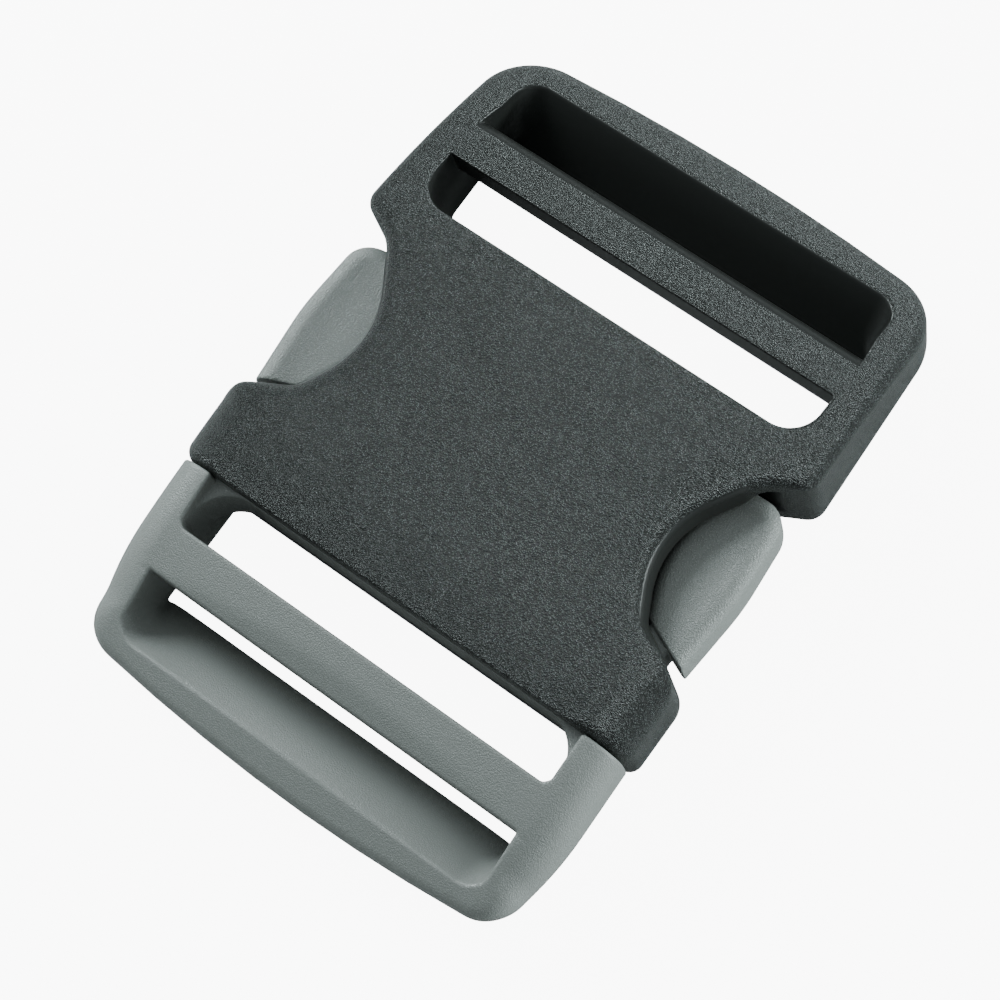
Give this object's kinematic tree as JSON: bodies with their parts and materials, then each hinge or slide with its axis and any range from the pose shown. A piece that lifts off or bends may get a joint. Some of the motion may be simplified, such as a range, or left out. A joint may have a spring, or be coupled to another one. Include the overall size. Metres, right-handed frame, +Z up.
{
  "type": "side release buckle",
  "caption": "Closed side release buckle for wide webbing: a hollow socket with a waist and a plug with two spring prongs, each with a bar between webbing slots.",
  "frame": {"origin": "middle of the underside, on the surface that the buckle lies on", "axes": "+X across the buckle, +Y along it towards the socket's far end, +Z up out of the domed top"},
  "size_m": [0.0622, 0.0886, 0.0139],
  "materials": {
    "socket_plastic": "dark grey moulded acetal with a fine spark-eroded grain",
    "plug_plastic": "mid grey moulded acetal with a very fine grain"
  },
  "bodies": {
    "root": {"buckle_socket": "socket_plastic", "buckle_plug": "plug_plastic"}
  },
  "joints": []
}
